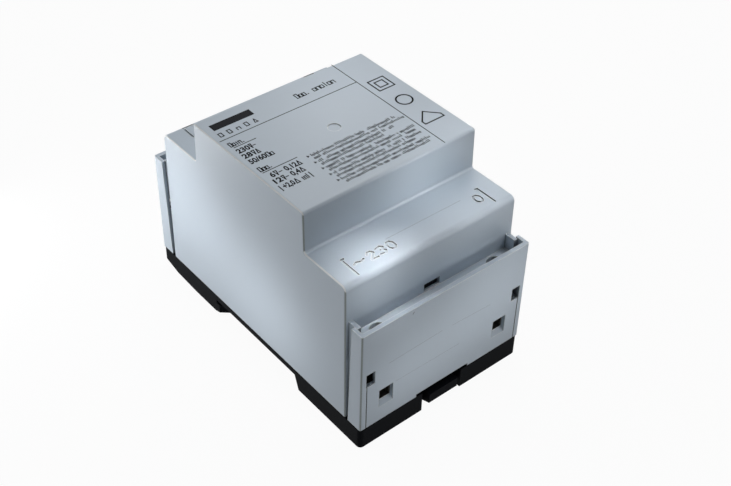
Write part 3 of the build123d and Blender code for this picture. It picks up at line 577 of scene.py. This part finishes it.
class SUPPLY_OT_terminals(bpy.types.Operator):
    """Finishes of the screws, clamps, contact bars and the catch's spring"""
    bl_idname = "supply.terminals"
    bl_label = "Terminals and spring"

    def execute(self, context):
        plated = finish("zinc_plated_steel", (0.13, 0.125, 0.11), 0.45, drift=0.15, scale=400, metallic=1.0)
        # brass coloured far darker than brass: painted shade for the contacts seen in the wire windows
        shade_dark_brass = finish("brass_darkened_as_shade", (0.05, 0.036, 0.02), 0.5, drift=0.15, scale=300, metallic=1.0)
        wire = finish("spring_wire", (0.42, 0.42, 0.43), 0.28, drift=0.1, scale=500, metallic=1.0)
        dress(plated, "front_screw", "rear_screw", "front_clamp", "rear_clamp")
        dress(shade_dark_brass, "front_contact", "rear_contact")
        dress(wire, "clip_spring")
        return {"FINISHED"}


class SUPPLY_OT_transformer(bpy.types.Operator):
    """Finishes of the core, coil former, windings, tapes, pins, sensor and leads"""
    bl_idname = "supply.transformer"
    bl_label = "Transformer"

    def execute(self, context):
        sheets = banded("core_sheets", (0.10, 0.10, 0.11), 0.5, "Y", pitch=0.5 * MM, depth=0.05 * MM,
                        metallic=0.8, drift=0.3)
        copper = banded("enamelled_wire", (0.42, 0.14, 0.04), 0.3, "Z", pitch=0.35 * MM, depth=0.12 * MM,
                        coat=0.4)
        film = finish("winding_film", (0.66, 0.47, 0.07), 0.3, coat=0.3, drift=0.1)
        former = finish("former_moulding", (0.016, 0.016, 0.016), 0.45, drift=0.2)
        tin = finish("tinned_wire", (0.60, 0.60, 0.58), 0.35, drift=0.1, scale=400, metallic=1.0)
        sensor = finish("sensor_coating", (0.02, 0.09, 0.24), 0.25, coat=0.5, drift=0.1)
        sleeve = finish("lead_sleeve", (0.12, 0.035, 0.012), 0.45, drift=0.1)
        dress(sheets, "core_")
        dress(copper, "primary_winding", "secondary_winding")
        dress(film, "primary_tape", "secondary_tape")
        # the pins' name starts with the former's, so they come after it
        dress(former, "bobbin")
        dress(tin, "bobbin_pins")
        dress(sensor, "thermal_fuse")
        dress(sleeve, "primary_lead")
        return {"FINISHED"}


class SUPPLY_OT_board(bpy.types.Operator):
    """Finishes of the circuit board and its parts"""
    bl_idname = "supply.board"
    bl_label = "Circuit board"

    def execute(self, context):
        laminate = finish("board_laminate", (0.012, 0.07, 0.02), 0.35, coat=0.3, drift=0.25, scale=200)
        sleeve = finish("capacitor_sleeve", (0.006, 0.01, 0.05), 0.3, coat=0.3, drift=0.1)
        coating = finish("disc_coating", (0.52, 0.22, 0.02), 0.3, coat=0.4, drift=0.15)
        body = finish("diode_body", (0.006, 0.006, 0.007), 0.35, drift=0.1)
        dress(laminate, "circuit_board")
        dress(sleeve, "capacitor")
        dress(coating, "resettable_fuse")
        dress(body, "diode_")
        return {"FINISHED"}


# Print and marks, with X and Y in millimetres

RULES = [
    [(-25.8, 11.8), (16.7, 11.8)],
    [(16.7, 22.1), (16.7, -21.8)],
    [(-24.5, 7.7), (-18.2, 7.7)],
    [(-24.9, -4.6), (-15.0, -4.6)],
]
SQUARE_X, SQUARE_Y = 21.25, 7.35
SQUARE_HALVES = (2.5, 1.3)
RING_X, RING_Y, RING_RADIUS = 21.15, -1.85, 2.15
RING_PEN = 1.1                   # ring's pen over that of the other signs
GABLE = [(18.2, -12.0), (21.2, -8.7), (24.3, -12.0), (24.3, -13.3), (18.2, -13.3)]
PLAIN_BAR = rectangle(-24.4, 16.3, -12.4, 18.9)
DIGIT_SIZE = 1.4                 # type size over the height of a digit
DIGIT_STEPS = 3                  # points on each curve of a digit
MERGE = 0.0005 * MM
RATINGS = [
    # digits, start and end along X, foot along Y
    ("230", -24.95, -21.4, 5.0), ("28", -25.05, -22.45, 2.45), ("50/60", -25.05, -20.2, -0.2),
    ("6", -24.15, -23.0, -7.35), ("0,12", -20.05, -16.5, -7.35),
    ("12", -24.9, -22.65, -9.85), ("0,4", -20.0, -17.5, -9.85), ("+2,0", -24.3, -21.15, -12.6),
]
LETTERS = {
    # plain shapes in a square of one by one, closed where the last point is the first
    "box": [(0, 0), (1, 0), (1, 1), (0, 1), (0, 0)],
    "low_box": [(0, 0), (1, 0), (1, 0.65), (0, 0.65), (0, 0)],
    "tent": [(0, 0), (0.5, 1), (1, 0), (0, 0)],
    "funnel": [(0, 1), (0.5, 0), (1, 1), (0, 1)],
    "arch": [(0, 0), (0, 0.65), (1, 0.65), (1, 0)],
    "bar": [(0.5, 0), (0.5, 1)],
    "low_bar": [(0.5, 0), (0.5, 0.65)],
    "dash": [(0, 0.45), (1, 0.45)],
    "dot": [(0.3, 0.05), (0.5, 0.05)],
    "blank": [],
}
LETTER_FILL = 0.72               # width of a shape over the step to the next
WORDS = [
    # shapes, start and end along X, foot along Y, height
    (("box", "low_box", "low_bar", "arch", "dot"), -24.9, -20.6, 8.3, 1.7),
    (("box", "low_box", "low_box", "dot"), -25.0, -21.3, -4.0, 1.7),
    (("funnel", "dash"), -21.2, -19.5, 5.0, 1.7),
    (("funnel", "tent"), -22.2, -20.1, 2.45, 1.7),
    (("box", "low_box"), -20.0, -18.0, -0.2, 1.7),
    (("funnel", "dash"), -22.8, -20.6, -7.35, 1.7),
    (("tent",), -16.3, -15.1, -7.35, 1.7),
    (("funnel", "dash"), -22.4, -20.6, -9.85, 1.7),
    (("tent",), -17.3, -16.0, -9.85, 1.7),
    (("tent",), -20.9, -19.6, -12.6, 1.7),
    (("low_bar", "arch", "bar"), -19.0, -16.8, -12.6, 1.7),
    (("bar",), -25.2, -24.8, -12.9, 2.0),
    (("bar",), -16.5, -16.1, -12.9, 2.0),
    (("box", "blank", "box", "blank", "arch", "blank", "box", "blank", "tent"), -24.5, -13.1, 13.2, 1.5),
    (("box", "low_box", "low_box", "dot"), 0.2, 4.4, 15.1, 1.9),
    (("low_box", "arch", "low_box", "bar", "low_box", "arch"), 5.6, 12.8, 15.1, 1.9),
]
BULLETS = [-6.0, -8.9, -11.8, -14.7, -17.55]
BULLET_LEFT, BULLET_RIGHT, BULLET_HALF = -13.0, -12.3, 0.5
NOTE_ENDS = [(14.0, 15.8), (11.7, 7.0), (15.4, 15.0), (14.9, 12.1), (15.4, 14.3)]
NOTE_START = -11.75
NOTE_LINE = 1.3                  # from one line of a note to the next
NOTE_DROP = 0.45                 # foot of a line under its middle, as a share of its height
NOTE_STEP, NOTE_PEN = 0.52, 0.26
NOTE_GAPS = 0.1                  # share of the strokes left out
COVER_SCORES = [
    # points along X and Z, width
    ([(-18.2, 20.2), (-1.3, 20.6)], 0.09),
    ([(2.0, 20.4), (14.8, 19.7)], 0.08),
    ([(-15.8, 12.5), (4.9, 12.2)], 0.07),
    ([(-11.4, 32.2), (-11.1, 32.5)], 0.3),
]
SHOULDER_SCORES = [([(-8.7, -30.2), (14.9, -30.4)], 0.09)]
SCORE_SHADE = 0.45               # a score's tint over that of the moulding


class SUPPLY_OT_print(bpy.types.Operator):
    """Ruled lines, ratings, notes and plain symbols on the nose, and scores on the mouldings"""
    bl_idname = "supply.nose_print"
    bl_label = "Print and scores"

    def execute(self, context):
        look = context.scene.supply_print
        ink = finish("print_ink", look.ink, 0.5, depth=0.002 * MM, edge=0.01 * MM, drift=0.2, index=1.13)
        self.lines(look, ink)
        self.ratings(look, ink)
        self.notes(look, ink)
        self.scores(look, context.scene.supply_plastic.grey)
        return {"FINISHED"}

    def lines(self, look, ink):
        """Rules, signs, words of plain shapes, the plain bar and bullets, as one piece."""
        low, high = NOSE_TOP - look.rise, NOSE_TOP + look.rise
        shape = bmesh.new()

        def draw(points, width, closed=False):
            ribbon_into(shape, in_mm(points), width, low, high, closed)

        for points in RULES:
            draw(points, look.line)
        for half in SQUARE_HALVES:
            square = rectangle(SQUARE_X - half, SQUARE_Y - half, SQUARE_X + half, SQUARE_Y + half)
            draw(square, look.sign, closed=True)
        draw(ring_points(RING_X, RING_Y, RING_RADIUS), look.sign * RING_PEN, closed=True)
        draw(GABLE, look.sign, closed=True)
        for word, start, end, foot, height in WORDS:
            step = (end - start) / len(word)
            for place, kind in enumerate(word):
                left = start + place * step
                points = [(left + x * step * LETTER_FILL, foot + y * height) for x, y in LETTERS[kind]]
                closed = len(points) > 3 and points[0] == points[-1]
                draw(points[:-1] if closed else points, look.letter, closed)
        prism_into(shape, in_mm(PLAIN_BAR), low, high)
        for y in BULLETS:
            head = [(BULLET_LEFT, y - BULLET_HALF), (BULLET_RIGHT, y), (BULLET_LEFT, y + BULLET_HALF)]
            prism_into(shape, in_mm(head), low, high)
        piece("print_lines", mesh_of(shape), ink, "chassis")

    def ratings(self, look, ink):
        """Digits of the ratings, each run fitted to its place."""
        shape = bmesh.new()
        for words, start, end, foot in RATINGS:
            letters = bpy.data.curves.new("rating", "FONT")
            letters.body = words
            letters.size = look.large * DIGIT_SIZE
            letters.offset = look.bold
            letters.extrude = look.rise
            letters.resolution_u = DIGIT_STEPS
            obj = bpy.data.objects.new("rating", letters)
            bpy.context.scene.collection.objects.link(obj)
            seen = obj.evaluated_get(bpy.context.evaluated_depsgraph_get())
            flat = bpy.data.meshes.new_from_object(seen)
            wide = [vert.co.x for vert in flat.vertices]
            fit = Matrix.Diagonal(((end - start) * MM / (max(wide) - min(wide)), 1, 1, 1))
            place = Matrix.Translation((start * MM, foot * MM, NOSE_TOP))
            flat.transform(place @ fit @ Matrix.Translation((-min(wide), 0, 0)))
            shape.from_mesh(flat)
            bpy.data.objects.remove(obj)
            bpy.data.curves.remove(letters)
            bpy.data.meshes.remove(flat)
        bmesh.ops.remove_doubles(shape, verts=shape.verts, dist=MERGE)
        piece("print_ratings", mesh_of(shape), ink, "chassis")

    def notes(self, look, ink):
        """Two lines of strokes beside each bullet."""
        rows = []
        for y, ends in zip(BULLETS, NOTE_ENDS):
            for line, end in enumerate(ends):
                level = (y - line * NOTE_LINE) * MM - look.small * NOTE_DROP
                rows.append(((NOTE_START * MM, level, NOSE_TOP), (end * MM, level, NOSE_TOP)))
        notes = strokes_mesh(stroke_tree(ink), rows, Pitch=NOTE_STEP * MM, Height=look.small,
                             Stroke=NOTE_PEN * MM, Depth=2 * look.rise, Gap=NOTE_GAPS, Seed=look.seed)
        piece("print_notes", notes, ink, "chassis")

    def scores(self, look, grey):
        """Faint lines scored on the front cover and the shoulder, and a nick."""
        scored = finish("scored_moulding", [value * SCORE_SHADE for value in grey], 0.5, drift=0.3)
        upright = Matrix(((1, 0, 0, 0), (0, 0, -1, COVER_FACE), (0, 1, 0, 0), (0, 0, 0, 1)))
        level = Matrix.Translation((0, 0, SHOULDER_TOP))
        for name, scores, place, body in (
                ("cover_scores", COVER_SCORES, upright, "front_cover"),
                ("shoulder_scores", SHOULDER_SCORES, level, "chassis")):
            shape = bmesh.new()
            for points, width in scores:
                ribbon_into(shape, in_mm(points), width * MM, -look.rise, look.rise / 2)
            bmesh.ops.transform(shape, matrix=place, verts=shape.verts)
            piece(name, mesh_of(shape), scored, body)


# Stage

FLOOR_DROP = 0.02 * MM           # floor under the base, so that they don't share a plane
FLOOR_GLOW = 0.95                # how much of the floor that is looked at is plain white
WORLD_LEVEL = 0.18
WORLD_TINT = (0.94, 0.97, 1.0)
WHITE = (1.0, 1.0, 1.0)
LAMPS = [
    # name, place, aim, side, power, spread in degrees
    ("top_softbox", (0.10, 0.10, 0.90), (0.0, 0.0, 0.02), 0.8, 2.1, 180),
    ("rear_right_panel", (0.12, 0.12, 0.22), (0.0, 0.0, 0.05), 0.12, 0.11, 180),
    ("left_low_panel", (-0.08, 0.09, 0.02), (-0.0267, 0.02, 0.03), 0.05, 0.042, 180),
    ("left_panel", (-0.11, 0.05, 0.05), (-0.0267, 0.02, 0.03), 0.05, 0.0033, 180),
    ("left_rear_pool", (-0.14, 0.06, 0.05), (-0.0267, 0.028, 0.028), 0.02, 0.0013, 25),
    ("left_front_pool", (-0.14, -0.02, 0.0), (-0.0267, -0.005, 0.012), 0.02, 0.00145, 25),
    ("top_right_pool", (0.04, 0.06, 0.16), (0.012, 0.012, 0.056), 0.02, 0.00045, 25),
    ("shoulder_panel", (0.05, -0.075, 0.056), (0.012, -0.023, 0.048), 0.03, 0.0011, 180),
    ("shoulder_left_pool", (-0.012, -0.066, 0.15), (-0.015, -0.0355, 0.044), 0.015, 0.0009, 13),
    ("shoulder_right_pool", (0.06, -0.06, 0.12), (0.021, -0.027, 0.0443), 0.03, 0.00085, 16),
    ("nose_wall_pool", (0.05, -0.09, 0.07), (0.006, -0.0222, 0.051), 0.015, 0.0006, 22),
    ("cover_right_pool", (0.08, -0.13, 0.04), (0.012, -0.044, 0.022), 0.02, 0.00102, 25),
    ("cover_low_pool", (0.0, -0.14, 0.0), (-0.012, -0.044, 0.010), 0.02, 0.00028, 20),
    ("wall_left_pool", (-0.02, -0.13, 0.05), (-0.02, -0.0376, 0.039), 0.012, 0.00007, 10),
]


class SUPPLY_OT_stage(bpy.types.Operator):
    """Pale floor, soft lamps, plain world and the camera"""
    bl_idname = "supply.stage"
    bl_label = "Stage"

    def execute(self, context):
        look = context.scene.supply_stage
        context.scene.view_settings.view_transform = "Standard"
        self.floor(context.scene, look)
        self.world(context.scene)
        self.lamps(context.scene)
        self.camera(context.scene, look)
        return {"FINISHED"}

    def looked_at(self, tree):
        """One for camera, glossy and transmission rays, nought for others."""
        rays = add(tree, "ShaderNodeLightPath", (-300, 400)).outputs
        bounced = maths(tree, (-100, 500), "MAXIMUM", rays["Is Glossy Ray"], rays["Is Transmission Ray"])
        return maths(tree, (100, 400), "MAXIMUM", rays["Is Camera Ray"], bounced)

    def floor(self, scene, look):
        """A pale floor that keeps the shadow and looks nearly white."""
        half = look.floor / 2
        mesh = bpy.data.meshes.new("floor")
        corners = [(x, y, FLOOR_Z - FLOOR_DROP) for x, y in rectangle(-half, -half, half, half)]
        mesh.from_pydata(corners, [], [(0, 1, 2, 3)])
        made, shader = blank("pale_floor")
        tree = made.node_tree
        put(shader, Base_Color=rgba(look.pale), Roughness=0.9, Specular_IOR_Level=0.1)
        glow = put(add(tree, "ShaderNodeEmission", (300, -350)), Color=rgba(WHITE), Strength=1.0)
        part = maths(tree, (300, 350), "MULTIPLY", self.looked_at(tree), FLOOR_GLOW)
        both = shaders_mixed(tree, (520, 150), part, shader, glow)
        join(tree, both, tree.nodes["Material Output"].inputs["Surface"])
        mesh.materials.append(made)
        obj = bpy.data.objects.new("floor", mesh)
        scene.collection.objects.link(obj)

    def world(self, scene):
        """A dim even light, which looks white behind the object."""
        scene.world = bpy.data.worlds.new("pale_world")
        scene.world.use_nodes = True
        tree = scene.world.node_tree
        tree.nodes.clear()
        dim = put(add(tree, "ShaderNodeBackground", (0, 0)), Color=rgba(WORLD_TINT), Strength=WORLD_LEVEL)
        white = put(add(tree, "ShaderNodeBackground", (0, -200)), Color=rgba(WHITE), Strength=1.0)
        both = shaders_mixed(tree, (250, 0), self.looked_at(tree), dim, white)
        out = add(tree, "ShaderNodeOutputWorld", (450, 0))
        join(tree, both, out.inputs["Surface"])

    def lamps(self, scene):
        """Square lamps, each turned to its aim."""
        for name, place, aim, side, power, spread in LAMPS:
            lamp = bpy.data.lights.new(name, "AREA")
            lamp.shape, lamp.size, lamp.energy = "SQUARE", side, power
            lamp.spread = math.radians(spread)
            obj = bpy.data.objects.new(name, lamp)
            scene.collection.objects.link(obj)
            obj.location = place
            obj.visible_camera = False
            obj.rotation_euler = (Vector(aim) - Vector(place)).to_track_quat("-Z", "Y").to_euler()

    def camera(self, scene, look):
        """The camera, placed by its turn, height and tilt about the aimed point."""
        lens = bpy.data.cameras.new("camera")
        lens.lens, lens.sensor_width = look.lens, SENSOR
        lens.shift_x, lens.shift_y = look.shift
        lens.clip_start, lens.clip_end = NEAREST, FARTHEST
        obj = bpy.data.objects.new("camera", lens)
        scene.collection.objects.link(obj)
        sin_a, cos_a = math.sin(look.azimuth), math.cos(look.azimuth)
        sin_e, cos_e = math.sin(look.elevation), math.cos(look.elevation)
        sin_r, cos_r = math.sin(look.roll), math.cos(look.roll)
        ahead = Vector((-sin_a * cos_e, cos_a * cos_e, -sin_e))
        right = ahead.cross(Vector((0, 0, 1))).normalized()
        down = ahead.cross(right)
        right, down = cos_r * right + sin_r * down, -sin_r * right + cos_r * down
        x, y, z = look.offset
        place = Vector((0, 0, look.aim)) - x * right - y * down - z * ahead
        turn = Matrix((right, -down, -ahead)).transposed().to_4x4()
        obj.matrix_world = Matrix.Translation(place) @ turn
        scene.camera = obj


# Add-on

STEPS = (SUPPLY_OT_plastics, SUPPLY_OT_terminals, SUPPLY_OT_transformer, SUPPLY_OT_board, SUPPLY_OT_print,
         SUPPLY_OT_stage)


class SUPPLY_PT_panel(bpy.types.Panel):
    """The steps that dress the power supply"""
    bl_label = "Power supply"
    bl_idname = "SUPPLY_PT_panel"
    bl_space_type = "VIEW_3D"
    bl_region_type = "UI"
    bl_category = "Power supply"

    def draw(self, context):
        scene = context.scene
        for settings in (scene.supply_plastic, scene.supply_print, scene.supply_stage):
            column = self.layout.column(align=True)
            for name in settings.__annotations__:
                column.prop(settings, name)
        for step in STEPS:
            self.layout.operator(step.bl_idname)


CLASSES = (PlasticSettings, PrintSettings, StageSettings, *STEPS, SUPPLY_PT_panel)


def register():
    for made in CLASSES:
        bpy.utils.register_class(made)
    bpy.types.Scene.supply_plastic = bpy.props.PointerProperty(type=PlasticSettings)
    bpy.types.Scene.supply_print = bpy.props.PointerProperty(type=PrintSettings)
    bpy.types.Scene.supply_stage = bpy.props.PointerProperty(type=StageSettings)


def unregister():
    for name in ("supply_plastic", "supply_print", "supply_stage"):
        delattr(bpy.types.Scene, name)
    for made in reversed(CLASSES):
        bpy.utils.unregister_class(made)


def main():
    register()
    bpy.ops.supply.plastics()
    bpy.ops.supply.terminals()
    bpy.ops.supply.transformer()
    bpy.ops.supply.board()
    bpy.ops.supply.nose_print()
    bpy.ops.supply.stage()


if __name__ == "__main__":
    main()
